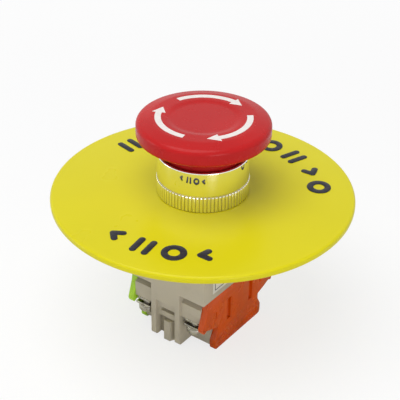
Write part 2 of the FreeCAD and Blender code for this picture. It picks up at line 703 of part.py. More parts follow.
# The cover's outline as (across, up) from its top to its foot, and how much each corner is rounded.
COVER_CORNERS = (
    ("16.0", "d.block_low", 0), ("16.6", "-27.6", 0), ("18.45", "-33.2", 0.7), ("17.9", "-34.7", 0.55),
    ("16.5", "-34.0", 0.4), ("14.2", "-34.9", 0), ("10.7", "-36.0", 0.5), ("10.7", "-37.8", 0.7),
    ("12.2", "-40.6", 0.8), ("12.2", "d.base_low - 1.3", 1.2),
)
# Slots in the cover's face: the side nearest -Y, the width, the foot and the top.
COVER_SLOTS = (
    (-6.0, 1.9, -36.0, -28.2), (5.4, 1.9, -35.6, -28.2),
    (-12.0, 0.5, -32.2, -29.8), (11.4, 0.5, -32.2, -29.8),
)


def module_cover(label, side):
    """Side cover of one contact module, with slots and a stepped lower band outside."""
    body = doc.addObject("PartDesign::Body", label + "_body")
    inner_face = "d.module_face" if side > 0 else "-d.cover_face"
    outline = sketch(body, label + "_outline", "YZ_Plane", inner_face)
    half = [(across, up) for across, up, _ in COVER_CORNERS]
    draw(outline, [(f"-({across})", up) for across, up in half] + list(reversed(half)))
    pad = body.newObject("PartDesign::Pad", label + "_pad")
    pad.Profile = outline
    pad.setExpression("Length", "d.cover_face - d.module_face")
    doc.recompute()

    def corner(across, up):
        def wanted(edge):
            middle = edge.CenterOfMass
            return (
                abs(abs(middle.y) - number(across)) < 0.01 and abs(middle.z - number(up)) < 0.01
                and edge.BoundBox.XLength > 1
            )
        return wanted

    for place, (across, up, size) in reversed(list(enumerate(COVER_CORNERS))):
        if size:
            round_edges(body, f"{label}_round_{place}", str(size), corner(across, up))
    outer = ("d.cover_face - 1.1", "d.cover_face + 1")
    tools = [
        box(f"{label}_slot_{place}", span(side, *outer), (f"{near}", f"{near + wide}"), (f"{foot}", f"{top}"))
        for place, (near, wide, foot, top) in enumerate(COVER_SLOTS)
    ]
    band = ("d.cover_face - 0.3", "d.cover_face + 1")
    tools.append(box(label + "_band", span(side, *band), ("-10.4", "10.4"), ("d.base_low - 0.5", "-40.8")))
    keep(cut(label, body, *tools), label)


def contact_strips(label, side):
    """Two bent strips that lead from the terminals to the fixed contacts."""
    strips = []
    for end in SIDES:
        across = span(side, "d.module_x - d.strip_half", "d.module_x + d.strip_half")
        under = "d.strip_level - d.strip_thick"
        leg = "d.leg_outer - d.strip_thick"
        tag = f"{label}_{end + 1}"
        solid = fuse(
            tag + "_solid",
            box(tag + "_foot", across, span(end, leg, "d.bay_y + 0.1"), (under, "d.strip_level")),
            box(tag + "_leg", across, span(end, leg, "d.leg_outer"), (under, "d.arm_level")),
            box(tag + "_arm", across, span(end, "d.arm_inner", "d.leg_outer"),
                ("d.arm_level - d.strip_thick", "d.arm_level")),
        )
        hole = rod(
            tag + "_hole", "d.screw_shank + 0.05", ("d.strip_level - 3", "d.strip_level + 1"),
            on_module(side), f"{end} * d.screw_y",
        )
        strips.append(cut(tag, solid, hole))
    keep(group(label, strips), label)


def silver_tips(label, side, low):
    """A pair of contact rivets, one for each strip."""
    height = (low, f"{low} + d.tip_thick")
    tips = [
        rod(f"{label}_{end + 1}", "d.tip_radius", height, on_module(side), f"{end} * d.tip_y")
        for end in SIDES
    ]
    keep(group(label, tips), label)


def bridge(label, side, low):
    """Moving contact bridge."""
    keep(box(
        label, span(side, "d.module_x - d.bridge_half_x", "d.module_x + d.bridge_half_x"),
        ("-d.bridge_half_y", "d.bridge_half_y"), (low, f"{low} + d.bridge_thick"),
    ), label)


def carrier(label, side, window, hollow):
    """Sliding carrier with a window for its bridge and a spring hollow."""
    solid = box(
        label + "_solid", span(side, "d.module_x - d.carrier_half_x", "d.module_x + d.carrier_half_x"),
        ("-d.carrier_half_y", "d.carrier_half_y"), ("d.carrier_low", "d.carrier_top"),
    )
    across = span(side, "d.module_x - d.bridge_half_x - 0.1", "d.module_x + d.bridge_half_x + 0.1")
    opening = box(label + "_window", across, ("-d.carrier_half_y - 1", "d.carrier_half_y + 1"), window)
    rooms = [rod(f"{label}_room_{i}", "1.75", heights, on_module(side)) for i, heights in enumerate(hollow)]
    keep(cut(label, solid, opening, *rooms), label)


def contact_modules():
    fixed_low = "d.arm_level - d.strip_thick - d.tip_thick"
    nc_tip = f"{fixed_low} - d.contact_gap - d.tip_thick"
    nc_bridge = f"{nc_tip} - d.bridge_thick"
    no_tip = "d.arm_level + d.tip_thick + d.open_gap"
    no_bridge = f"{no_tip} + d.tip_thick"
    no_top = f"{no_bridge} + d.bridge_thick"
    for kind, side in (("nc", 1), ("no", -1)):
        module_cover(kind + "_module_cover", side)
        contact_strips(kind + "_contact_strips", side)
    silver_tips("nc_fixed_tips", 1, fixed_low)
    silver_tips("nc_bridge_tips", 1, nc_tip)
    bridge("nc_bridge", 1, nc_bridge)
    carrier(
        "nc_carrier", 1, (f"{nc_bridge} - 0.05", f"{nc_tip} + 0.05"), [("d.carrier_low - 1", nc_bridge)],
    )
    silver_tips("no_fixed_tips", -1, "d.arm_level")
    silver_tips("no_bridge_tips", -1, no_tip)
    bridge("no_bridge", -1, no_bridge)
    ceiling = f"{no_top} + d.lost_motion + 0.4"
    carrier(
        "no_carrier", -1, (f"{no_bridge} - 0.1", ceiling),
        [("d.carrier_low - 1", "d.carrier_low + 1.5"), (f"{ceiling} - 0.1", "d.carrier_top - 0.8")],
    )
    spring = coil(
        "no_contact_spring", "d.contact_coil", "0.35", f"{no_top} + 0.05", "d.carrier_top - 0.85", 6,
        on_module(-1),
    )
    keep(spring, "no_contact_spring")


# -------------------------------------------------------------------- terminals

def terminals():
    """Four screw terminals: clamp plate, washer and screw, entered from below."""
    screws, washers, plates = [], [], []
    for side in SIDES:
        for end in SIDES:
            tag = f"{side + 1}_{end + 1}"
            x, y = on_module(side), f"({end} * d.screw_y)"
            hole = ("d.washer_low - 1", "d.clamp_top + 1")
            thick = "(d.washer_low - d.head_low)"
            length = "(d.screw_tip - d.washer_low)"
            screws.append(small_screw(
                "terminal_screw_" + tag, "d.screw_shank", length, "d.screw_head", thick, x, y, "d.head_low",
            ))
            disc = rod("washer_disc_" + tag, "d.screw_head", ("d.washer_low", "d.washer_top"), x, y)
            washers.append(cut(
                "washer_" + tag, disc, rod("washer_hole_" + tag, "d.screw_shank + 0.05", hole, x, y),
            ))
            plate = box(
                "clamp_slab_" + tag, (f"{x} - d.clamp_half", f"{x} + d.clamp_half"),
                (f"{y} - d.clamp_half", f"{y} + d.clamp_half"), ("d.washer_top", "d.clamp_top"),
            )
            plates.append(cut(
                "clamp_" + tag, plate, rod("clamp_hole_" + tag, "d.screw_shank + 0.05", hole, x, y),
            ))
    keep(group("terminal_screws", screws), "terminal_screws")
    keep(group("screw_washers", washers), "screw_washers")
    keep(group("clamp_plates", plates), "clamp_plates")


def write_parts():
    """Checks every object, then writes one STEP file for each sub-part."""
    doc.recompute()
    for item in doc.Objects:
        if "Invalid" in item.State or "Error" in item.State:
            raise RuntimeError(f"{item.Name} failed: {item.State}")
    for item in nodes:
        if item.Shape.isNull() or not item.Shape.isValid():
            raise RuntimeError(item.Label + " has no valid shape")
    os.makedirs("parts", exist_ok=True)
    for item in nodes:
        item.Shape.exportStep(os.path.join("parts", item.Label + ".step"))
        print(f"{item.Label:20s} solids {len(item.Shape.Solids)} volume {item.Shape.Volume:9.2f}")


legend_plate()
plate_gasket()
plate_marks()
bezel_ring()
mushroom_cap(arrow_inlays())
twist_hub()
cap_screws()
actuator_stem()
latch_pins()
hub_clip()
yoke()
springs()
threaded_neck()
clamp_nut()
collar_screws()
base_housing()
side_label()
contact_modules()
terminals()
write_parts()
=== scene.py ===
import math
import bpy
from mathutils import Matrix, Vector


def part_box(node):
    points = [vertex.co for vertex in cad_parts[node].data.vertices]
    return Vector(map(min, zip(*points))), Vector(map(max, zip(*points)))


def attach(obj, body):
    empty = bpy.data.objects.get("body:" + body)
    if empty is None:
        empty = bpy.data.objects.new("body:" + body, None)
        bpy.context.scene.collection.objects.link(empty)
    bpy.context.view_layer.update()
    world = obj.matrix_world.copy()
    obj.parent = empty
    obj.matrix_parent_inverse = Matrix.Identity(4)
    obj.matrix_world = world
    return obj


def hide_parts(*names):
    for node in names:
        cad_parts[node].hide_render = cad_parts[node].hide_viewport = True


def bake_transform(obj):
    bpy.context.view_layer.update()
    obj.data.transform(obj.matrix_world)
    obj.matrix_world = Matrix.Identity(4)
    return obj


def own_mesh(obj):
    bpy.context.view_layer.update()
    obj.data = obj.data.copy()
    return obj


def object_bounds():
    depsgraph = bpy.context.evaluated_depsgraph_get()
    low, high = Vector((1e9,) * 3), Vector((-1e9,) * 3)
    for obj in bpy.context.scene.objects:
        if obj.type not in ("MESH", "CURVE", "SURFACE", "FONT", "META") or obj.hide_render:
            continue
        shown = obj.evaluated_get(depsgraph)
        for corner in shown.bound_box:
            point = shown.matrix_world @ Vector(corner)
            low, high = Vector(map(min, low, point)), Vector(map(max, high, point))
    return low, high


bl_info = {
    "name": "Emergency Stop Button",
    "version": (1, 0, 0),
    "blender": (4, 5, 0),
    "location": "View3D > Sidebar > Stop Button",
    "description": "Builds the looks of a twist-release emergency stop button around its CAD frame",
    "category": "Object",
}

import bmesh
import bpy
from bpy.props import FloatProperty, FloatVectorProperty, IntProperty, PointerProperty
from mathutils import Matrix, Vector

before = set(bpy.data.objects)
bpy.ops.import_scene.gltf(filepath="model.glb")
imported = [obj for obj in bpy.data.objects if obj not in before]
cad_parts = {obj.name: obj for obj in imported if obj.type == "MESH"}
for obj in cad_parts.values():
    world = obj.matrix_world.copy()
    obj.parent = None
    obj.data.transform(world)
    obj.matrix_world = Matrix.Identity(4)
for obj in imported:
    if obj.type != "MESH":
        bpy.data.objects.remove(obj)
cad_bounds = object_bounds()

MM = 0.001
SIDES = (-1, 1)
ROUND_STEPS = 6
FINE_STEPS = 8


# --------------------------------------------------------------------- settings

def colour(name, description, default):
    """A setting that is a colour."""
    return FloatVectorProperty(
        name=name, description=description, default=default, subtype="COLOR", size=3, min=0.0, max=1.0,
    )


def length(name, description, millimetres):
    """A setting that is a length."""
    return FloatProperty(
        name=name, description=description, default=millimetres * MM, unit="LENGTH", min=0.0,
    )


class StopButtonColours(bpy.types.PropertyGroup):
    """The colours of the button's finishes."""
    head: colour("Head", "Red of the mushroom head", (0.50, 0.014, 0.015))
    arrows: colour("Arrows", "Off-white of the arrows in the head", (0.80, 0.75, 0.72))
    plate: colour("Plate", "Yellow of the legend plate", (0.68, 0.61, 0.007))
    marks: colour("Marks", "Black of the marks on the plate", (0.018, 0.019, 0.026))
    block: colour("Block", "Beige of the contact block", (0.46, 0.415, 0.33))
    open_module: colour("Normally open cover", "Green of one module cover", (0.43, 0.72, 0.05))
    closed_module: colour("Normally closed cover", "Orange of the other module cover", (0.68, 0.085, 0.003))
    label: colour("Label", "Pale film of the side label", (0.66, 0.64, 0.58))
    floor: colour("Floor", "Pale floor under the button", (0.90, 0.90, 0.91))


class StopButtonSizes(bpy.types.PropertyGroup):
    """The sizes that only the looks have."""
    segments: IntProperty(
        name="Segments", description="Steps round a turned piece", default=256, min=32, max=1024,
    )
    ribs: IntProperty(
        name="Ribs", description="Ribs in the ring's knurled band", default=78, min=12, max=200,
    )
    knurl_depth: length("Knurl depth", "How deep the flutes between the ribs are", 0.28)
    thread_pitch: length("Thread pitch", "Pitch of the thread on the neck", 1.5)
    edge: length("Edge", "Rounding on moulded edges", 0.22)
    metal_edge: length("Metal edge", "Rounding on stamped metal edges", 0.12)


def colours():
    """The colours as they are set in this scene."""
    return bpy.context.scene.stop_button_colours


def sizes():
    """The sizes as they are set in this scene."""
    return bpy.context.scene.stop_button_sizes


# ----------------------------------------------------------------- shader maths

class Value:
    """A number that changes over a surface or a ray. An expression on it adds Math nodes."""

    def __init__(self, nodes, socket):
        self.nodes = nodes
        self.socket = socket

    def math(self, operation, *inputs):
        """The result of a Math node."""
        node = self.nodes.node("ShaderNodeMath", {"operation": operation}, dict(enumerate(inputs)))
        return Value(self.nodes, node.outputs[0])

    def __add__(self, other):
        return self.math("ADD", self, other)

    __radd__ = __add__

    def __sub__(self, other):
        return self.math("SUBTRACT", self, other)

    def __rsub__(self, other):
        return self.math("SUBTRACT", other, self)

    def __mul__(self, other):
        return self.math("MULTIPLY", self, other)

    __rmul__ = __mul__

    def larger(self, other):
        """The larger of this number and another."""
        return self.math("MAXIMUM", self, other)

    def between(self, low, high):
        """0 below low, 1 above high and smooth in between."""
        settings = {"interpolation_type": "SMOOTHSTEP"}
        inputs = {"Value": self, "From Min": low, "From Max": high, "To Min": 0.0, "To Max": 1.0}
        return Value(self.nodes, self.nodes.node("ShaderNodeMapRange", settings, inputs).outputs["Result"])


class Nodes:
    """A node tree in the making. One method adds any node."""

    def __init__(self, owner):
        owner.use_nodes = True
        self.tree = owner.node_tree

    def node(self, kind, settings, inputs):
        """Adds a node: its settings first, then the values or links of its sockets, by name or number."""
        item = self.tree.nodes.new(kind)
        for name, setting in settings.items():
            setattr(item, name, setting)
        named = {socket.name: socket for socket in item.inputs if socket.enabled}
        for name, given in inputs.items():
            self.feed(named.get(name) or item.inputs[name], given)
        return item

    def feed(self, socket, given):
        """Sets a socket to a value, or links it."""
        given = given.socket if isinstance(given, Value) else given
        if isinstance(given, bpy.types.NodeSocket):
            self.tree.links.new(given, socket)
        else:
            socket.default_value = given

    def rays(self, *kinds):
        """For each kind of ray, a number that is 1 on such a ray and 0 on any other."""
        path = self.node("ShaderNodeLightPath", {}, {})
        return [Value(self, path.outputs[kind]) for kind in kinds]


class Finish(Nodes):
    """A material in the making, with shorthand for the nodes that finishes use most."""

    def __init__(self, name):
        self.material = bpy.data.materials.new(name)
        super().__init__(self.material)
        self.surface = self.tree.nodes["Principled BSDF"]
        self.place = self.node("ShaderNodeTexCoord", {}, {}).outputs["Object"]

    def set(self, **values):
        """Sets or links sockets of the Principled shader. An underscore stands for a space."""
        for name, given in values.items():
            self.feed(self.surface.inputs[name.replace("_", " ")], given)

    def stretched(self, x=1.0, y=1.0, z=1.0):
        """The object's coordinates, scaled along each axis."""
        node = self.node("ShaderNodeVectorMath", {"operation": "MULTIPLY"}, {0: self.place, 1: (x, y, z)})
        return node.outputs[0]

    def from_axis(self):
        """The distance from the button's upright axis."""
        node = self.node("ShaderNodeVectorMath", {"operation": "LENGTH"}, {0: self.stretched(z=0.0)})
        return Value(self, node.outputs["Value"])

    def height(self):
        """The height above the panel's face."""
        return Value(self, self.node("ShaderNodeSeparateXYZ", {}, {"Vector": self.place}).outputs["Z"])

    def grain(self, per_mm, detail=2.0, rough=0.5, at=None):
        """Noise with this many lumps in a millimetre."""
        inputs = {"Vector": at or self.place, "Scale": per_mm / MM, "Detail": detail, "Roughness": rough}
        return Value(self, self.node("ShaderNodeTexNoise", {}, inputs).outputs["Fac"])

    def cells(self, per_mm):
        """Rounded cells, as spark-eroded tooling leaves on moulded plastic."""
        inputs = {"Vector": self.place, "Scale": per_mm / MM, "Smoothness": 1.0}
        node = self.node("ShaderNodeTexVoronoi", {"feature": "SMOOTH_F1"}, inputs)
        return Value(self, node.outputs["Distance"])

    def mix(self, share, first, second):
        """One colour or another, by a share that changes over the surface."""
        node = self.node("ShaderNodeMix", {"data_type": "RGBA"}, {"Factor": share, "A": first, "B": second})
        return next(socket for socket in node.outputs if socket.enabled)

    def bump(self, height, deep_mm):
        """Normals of a height that changes over the surface, this deep in millimetres."""
        inputs = {"Height": height, "Distance": deep_mm * MM}
        return self.node("ShaderNodeBump", {}, inputs).outputs["Normal"]


def opaque(rgb, scale=1.0):
    """A colour for a socket, made darker or lighter by a scale."""
    return tuple(min(1.0, part * scale) for part in rgb[:3]) + (1.0,)


NICKEL = (0.88, 0.88, 0.87, 1.0)
# Dark yellowish colour of the painted shade in the ring's knurl flutes and along its foot.
SHADE_TINT = (0.50, 0.45, 0.20, 1.0)
ZINC = (0.56, 0.54, 0.49, 1.0)
ZINC_BLOOM = (0.34, 0.32, 0.28, 1.0)
BRASS = (0.62, 0.45, 0.19, 1.0)
BRASS_LINE = (0.50, 0.35, 0.13, 1.0)
SILVER = (0.86, 0.85, 0.82, 1.0)
TARNISH = (0.55, 0.52, 0.46, 1.0)
STEEL = (0.56, 0.56, 0.56, 1.0)
STEEL_GROOVE = (0.46, 0.46, 0.45, 1.0)
BLACK = (0.022, 0.022, 0.023, 1.0)
BLACK_SPECK = (0.04, 0.04, 0.04, 1.0)
RUBBER = (0.02, 0.02, 0.02, 1.0)
RUBBER_DUST = (0.07, 0.07, 0.065, 1.0)
WHITE = (1.0, 1.0, 1.0, 1.0)

finishes = {}


def finish(name):
    """The material of this name, made the first time it is asked for."""
    if name not in finishes:
        finishes[name] = MAKERS[name](Finish(name)).material
    return finishes[name]


def red_gloss(f):
    """Glossy moulded red with a faint flow pattern and fine rubbing marks."""
    base = colours().head
    flow = f.grain(0.05, detail=3.0).between(0.3, 0.7)
    rub = f.grain(0.35, detail=5.0, rough=0.6).between(0.45, 0.8)
    f.set(
        Base_Color=f.mix(flow, opaque(base, 0.94), opaque(base, 1.05)),
        Roughness=0.24 + rub * 0.08, Specular_IOR_Level=0.12,
        Normal=f.bump(f.grain(1.8, detail=2.0), 0.006),
    )
    return f


def arrow_ink(f):
    """Off-white filling, slightly uneven."""
    base = colours().arrows
    f.set(
        Base_Color=f.mix(f.grain(0.8).between(0.3, 0.7), opaque(base, 0.95), opaque(base, 1.04)),
        Roughness=0.42, Normal=f.bump(f.grain(3.0), 0.01),
    )
    return f


def yellow_satin(f):
    """Satin yellow plate with a light orange-peel."""
    base = colours().plate
    cloud = f.grain(0.03, detail=3.0).between(0.25, 0.75)
    f.set(
        Base_Color=f.mix(cloud, opaque(base, 0.975), opaque(base, 1.02)),
        Roughness=0.24 + f.grain(0.05, detail=3.0) * 0.1, Specular_IOR_Level=0.17,
        Normal=f.bump(f.grain(0.9, detail=1.0), 0.004),
    )
    return f


def mark_print(f):
    """Thick black print with a faint sheen."""
    base = colours().marks
    f.set(
        Base_Color=f.mix(f.grain(1.5).between(0.3, 0.7), opaque(base, 0.7), opaque(base, 1.3)),
        Roughness=0.42, Specular_IOR_Level=0.22, Normal=f.bump(f.grain(2.5), 0.015),
    )
    return f


# Where the painted shade lies on the ring: in the knurl's flutes, up to a band above the knurl, and along
# its foot above the plate.
SHADE_SPANS = {"flutes": (0.34, 0.1), "band": 0.2, "foot": (0.1, 0.45)}


def bright_plating(f):
    """Bright nickel plating with faint smudges, and painted shade in the knurl's flutes and along its foot
    by the plate.
    """
    smudge = f.grain(0.12, detail=5.0, rough=0.6).between(0.5, 0.85)
    deep, shallow = SHADE_SPANS["flutes"]
    low, high = SHADE_SPANS["foot"]
    height = f.height()
    flutes = 1.0 - f.from_axis().between((KNURL["out"] - deep) * MM, (KNURL["out"] - shallow) * MM)
    band = 1.0 - height.between(KNURL["top"] * MM, (KNURL["top"] + SHADE_SPANS["band"]) * MM)
    foot = 1.0 - height.between((PLATE_TOP + low) * MM, (PLATE_TOP + high) * MM)
    # Painted shade: darker and yellower in the knurl's flutes and along its foot by the plate, and rougher
    # there.
    painted_shade = (flutes * band + foot).between(0.0, 1.0)
    f.set(
        Base_Color=f.mix(painted_shade, NICKEL, SHADE_TINT), Metallic=1.0,
        Roughness=0.035 + smudge * 0.07 + painted_shade * 0.3, Normal=f.bump(f.grain(0.35, detail=2.0), 0.002),
    )
    return f


def beige_moulding(f):
    """Matt beige moulding with a spark-eroded grain and slight soiling."""
    base = colours().block
    soil = f.grain(0.09, detail=5.0, rough=0.6).between(0.42, 0.72)
    grain = f.cells(3.2)
    f.set(
        Base_Color=f.mix(soil, opaque(base, 1.05), opaque(base, 0.88)),
        Roughness=0.46 + grain * 0.12, Specular_IOR_Level=0.35,
        Normal=f.bump(grain + f.grain(1.2) * 0.6, 0.015),
    )
    return f


def clear_colour(f, base):
    """Tinted, slightly clear moulding, with flow streaks and a glossy skin."""
    flow = f.grain(0.16, detail=3.0, at=f.stretched(1.0, 1.0, 0.35)).between(0.3, 0.72)
    f.set(
        Base_Color=f.mix(flow, opaque(base, 0.86), opaque(base, 1.1)),
        Roughness=0.2 + f.grain(0.4, detail=3.0) * 0.12,
        Normal=f.bump(f.grain(0.4), 0.003),
        Transmission_Weight=0.04, IOR=1.49, Specular_IOR_Level=0.3,
    )
    return f


def green_clear(f):
    """Green cover of the normally open module."""
    return clear_colour(f, colours().open_module)


def orange_clear(f):
    """Orange cover of the normally closed module."""
    return clear_colour(f, colours().closed_module)


def zinc_plate(f):
    """Zinc-plated steel with a dull bloom."""
    bloom = f.grain(0.7, detail=5.0).between(0.35, 0.7)
    f.set(
        Base_Color=f.mix(bloom, ZINC, ZINC_BLOOM), Metallic=1.0,
        Roughness=0.16 + bloom * 0.16, Normal=f.bump(f.grain(3.0), 0.01),
    )
    return f


def brass_strip(f):
    """Rolled brass with fine lines along the strip."""
    lines = f.grain(1.4, detail=3.0, at=f.stretched(6.0, 0.4, 6.0)).between(0.3, 0.7)
    f.set(
        Base_Color=f.mix(lines, BRASS, BRASS_LINE), Metallic=1.0,
        Roughness=0.28 + lines * 0.12,
    )
    return f


def silver_contact(f):
    """Dull silver alloy."""
    tarnish = f.grain(1.0, detail=4.0).between(0.45, 0.75)
    f.set(
        Base_Color=f.mix(tarnish, SILVER, TARNISH), Metallic=1.0, Roughness=0.3,
    )
    return f


def turned_steel(f):
    """Turned steel with rings of tool marks."""
    rings = f.grain(1.2, detail=2.0, at=f.stretched(0.05, 0.05, 5.0)).between(0.3, 0.7)
    f.set(
        Base_Color=f.mix(rings, STEEL, STEEL_GROOVE), Metallic=1.0,
        Roughness=0.26 + rings * 0.14, Normal=f.bump(rings, 0.006),
    )
    return f


def black_moulding(f):
    """Matt black glass-filled moulding."""
    speck = f.grain(1.6, detail=4.0).between(0.4, 0.7)
    f.set(
        Base_Color=f.mix(speck, BLACK, BLACK_SPECK),
        Roughness=0.45 + speck * 0.15, Normal=f.bump(f.cells(2.5), 0.02),
    )
    return f


def seal_rubber(f):
    """Soft black seal."""
    dust = f.grain(0.8, detail=5.0).between(0.5, 0.8)
    f.set(
        Base_Color=f.mix(dust, RUBBER, RUBBER_DUST), Roughness=0.75,
        Normal=f.bump(f.grain(1.5), 0.03),
    )
    return f


def label_film(f):
    """Pale printed film."""
    base = colours().label
    cloud = f.grain(0.2, detail=3.0).between(0.3, 0.7)
    f.set(
        Base_Color=f.mix(cloud, opaque(base, 0.95), opaque(base, 1.05)),
        Roughness=0.35, Normal=f.bump(f.grain(1.0), 0.006),
    )
    return f


MAKERS = {
    "red_gloss": red_gloss, "arrow_ink": arrow_ink, "yellow_satin": yellow_satin, "mark_print": mark_print,
    "bright_plating": bright_plating, "beige_moulding": beige_moulding, "green_clear": green_clear,
    "orange_clear": orange_clear, "zinc_plate": zinc_plate, "brass_strip": brass_strip,
    "silver_contact": silver_contact, "turned_steel": turned_steel, "black_moulding": black_moulding,
    "seal_rubber": seal_rubber, "label_film": label_film,
}


# ------------------------------------------------------------------ mesh helpers

WELD = 0.002 * MM
FLAT_ANGLE = math.radians(1)
EDGE_ANGLE = math.radians(32)
SMOOTH_ANGLE = math.radians(35)


def add_object(name, mesh, finish_name):
    """Links a mesh into the scene with its material and smooth shading up to an angle."""
    mesh.polygons.foreach_set("use_smooth", [True] * len(mesh.polygons))
    mesh.set_sharp_from_angle(angle=SMOOTH_ANGLE)
    mesh.materials.clear()
    mesh.materials.append(finish(finish_name))
    item = bpy.data.objects.new(name, mesh)
    bpy.context.collection.objects.link(item)
    return item


def piece(name, mesh, finish_name, body, slot, *replaced):
    """A finished piece that rides on a body and stands for some CAD nodes."""
    item = add_object(name, mesh, finish_name)
    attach(item, body)
    if replaced:
        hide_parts(*replaced)
    return item


def mesh_from(bm, name):
    """Turns the faces outwards and keeps them as a mesh."""
    bmesh.ops.recalc_face_normals(bm, faces=bm.faces)
    mesh = bpy.data.meshes.new(name)
    bm.to_mesh(mesh)
    bm.free()
    return mesh


def rounded_path(corners, steps=ROUND_STEPS):
    """A line through corners given as (across, up, radius), each corner turned into an arc."""
    path = []
    count = len(corners)
    for index, (across, up, radius) in enumerate(corners):
        here = Vector((across, up))
        if radius <= 0 or index in (0, count - 1):
            path.append(here)
            continue
        to_last = (Vector(corners[index - 1][:2]) - here).normalized()
        to_next = (Vector(corners[index + 1][:2]) - here).normalized()
        angle = to_last.angle(to_next)
        back = radius / math.tan(angle / 2)
        start = here + to_last * back
        end = here + to_next * back
        centre = here + (to_last + to_next).normalized() * (radius / math.sin(angle / 2))
        first = start - centre
        turn = first.angle_signed(end - centre)
        for step in range(steps + 1):
            path.append(centre + Matrix.Rotation(-turn * step / steps, 2) @ first)
    return path


def turn_path(bm, path, segments, radius_at=None):
    """Revolves a path of (radius, height) in millimetres about Z.

    radius_at(radius, height, angle) gives another radius for a point, where it is given.
    """
    rows = []
    for radius, up in path:
        if radius < 1e-6:
            rows.append([bm.verts.new((0, 0, up * MM))])
            continue
        ring = []
        for step in range(segments):
            angle = 2 * math.pi * step / segments
            r = radius_at(radius, up, angle) if radius_at else radius
            ring.append(bm.verts.new((r * math.cos(angle) * MM, r * math.sin(angle) * MM, up * MM)))
        rows.append(ring)
    for low, high in zip(rows, rows[1:]):
        join_rows(bm, low, high, segments)
    return rows


def join_rows(bm, low, high, segments):
    """Fills the band between two rings of points, either of which may be one point."""
    for step in range(segments):
        following = (step + 1) % segments
        if len(low) == 1 and len(high) == 1:
            return
        if len(low) == 1:
            bm.faces.new((low[0], high[step], high[following]))
        elif len(high) == 1:
            bm.faces.new((low[step], low[following], high[0]))
        else:
            bm.faces.new((low[step], low[following], high[following], high[step]))


def ring_mesh(name, path, segments, radius_at=None):
    """A turned ring with a hole through it: the ends of its path are joined."""
    bm = bmesh.new()
    rows = turn_path(bm, path, segments, radius_at)
    join_rows(bm, rows[-1], rows[0], segments)
    return mesh_from(bm, name)


def prism(bm, outline, low, high, place=None):
    """A straight prism on a flat outline of (x, y) in millimetres, between two heights."""
    count = len(outline)
    bottom = [bm.verts.new((x * MM, y * MM, low * MM)) for x, y in outline]
    top = [bm.verts.new((x * MM, y * MM, high * MM)) for x, y in outline]
    bm.faces.new(list(reversed(bottom)))
    bm.faces.new(top)
    for step in range(count):
        following = (step + 1) % count
        bm.faces.new((bottom[step], bottom[following], top[following], top[step]))
    if place is not None:
        bmesh.ops.transform(bm, matrix=place, verts=bottom + top)


def applied(item, *modifiers):
    """Runs modifiers on an object and keeps their result as its mesh."""
    for kind, settings in modifiers:
        modifier = item.modifiers.new(kind.title(), kind)
        for name, setting in settings.items():
            setattr(modifier, name, setting)
    bpy.context.view_layer.update()
    result = bpy.data.meshes.new_from_object(item.evaluated_get(bpy.context.evaluated_depsgraph_get()))
    item.modifiers.clear()
    item.data = result


def softened_mesh(node, width, pockets=None):
    """A copy of a CAD node's mesh, flat faces made whole, pockets cut out and edges rounded."""
    bm = bmesh.new()
    bm.from_mesh(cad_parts[node].data)
    bmesh.ops.remove_doubles(bm, verts=bm.verts, dist=WELD)
    bmesh.ops.dissolve_limit(bm, angle_limit=FLAT_ANGLE, verts=bm.verts, edges=bm.edges)
    mesh = mesh_from(bm, node + "_soft")
    helper = bpy.data.objects.new(node + "_helper", mesh)
    bpy.context.collection.objects.link(helper)
    rounding = ("BEVEL", {
        "width": width, "segments": 2, "limit_method": "ANGLE", "angle_limit": EDGE_ANGLE,
        "use_clamp_overlap": True,
    })
    if pockets is None:
        applied(helper, rounding)
    else:
        tool = bpy.data.objects.new(node + "_tool", pockets)
        bpy.context.collection.objects.link(tool)
        cutting = ("BOOLEAN", {"operation": "DIFFERENCE", "solver": "EXACT", "object": tool})
        applied(helper, cutting, rounding)
        bpy.data.objects.remove(tool)
    softened = helper.data
    bpy.data.objects.remove(helper)
    return softened


def soften(node, finish_name, slot, width, pockets=None):
    """Replaces a node of the housing with a copy whose edges are rounded, as on a moulding or stamping."""
    piece(node + "_look", softened_mesh(node, width, pockets), finish_name, "housing", slot, node)


def polish(finish_name, *nodes):
    """Gives CAD nodes whose shape is right their material."""
    for node in nodes:
        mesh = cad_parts[node].data
        mesh.materials.clear()
        mesh.materials.append(finish(finish_name))


def node_box(node):
    """A node's lowest and highest corners in millimetres."""
    return [[part / MM for part in corner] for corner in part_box(node)]


# ------------------------------------------------------------------ mushroom head

HEAD_TOP = 26.2
HEAD_EDGE = 25.3
HEAD_FLAT = 15.3
HEAD_RADIUS = 19.55
HEAD_UNDER = 20.5
HEAD_ROUNDS = {"dish": 6, "shoulder": 1.7, "rim": 0.95, "lip": 0.2, "hollow": 0.3, "foot": 0.25}
DISH = {"deep": 0.35, "floor": 9.4, "edge": 11.0}
SKIRT = (10.6, 12.1, 13.9)
CEILING = 23.0
HOLLOW = (13.0, 17.45, 23.5)
HOLLOW_DRAFT = 0.1
HEAD_RIBS = {"count": 12, "half": 0.5, "into_skirt": 0.3, "into_rim": 0.35, "into_roof": 0.15, "up": 0.5}
ARROWS = 3
ARROW_RADII = (12.3, 14.1)
ARROW_WING = 1.1
ARROW_TIP = -50.0
ARROW_POINT = 15.5
ARROW_SWEEP = 76.0
ARROW_PROUD = 0.06
ARROW_SUNK = 0.2
ARROW_STEPS = 40


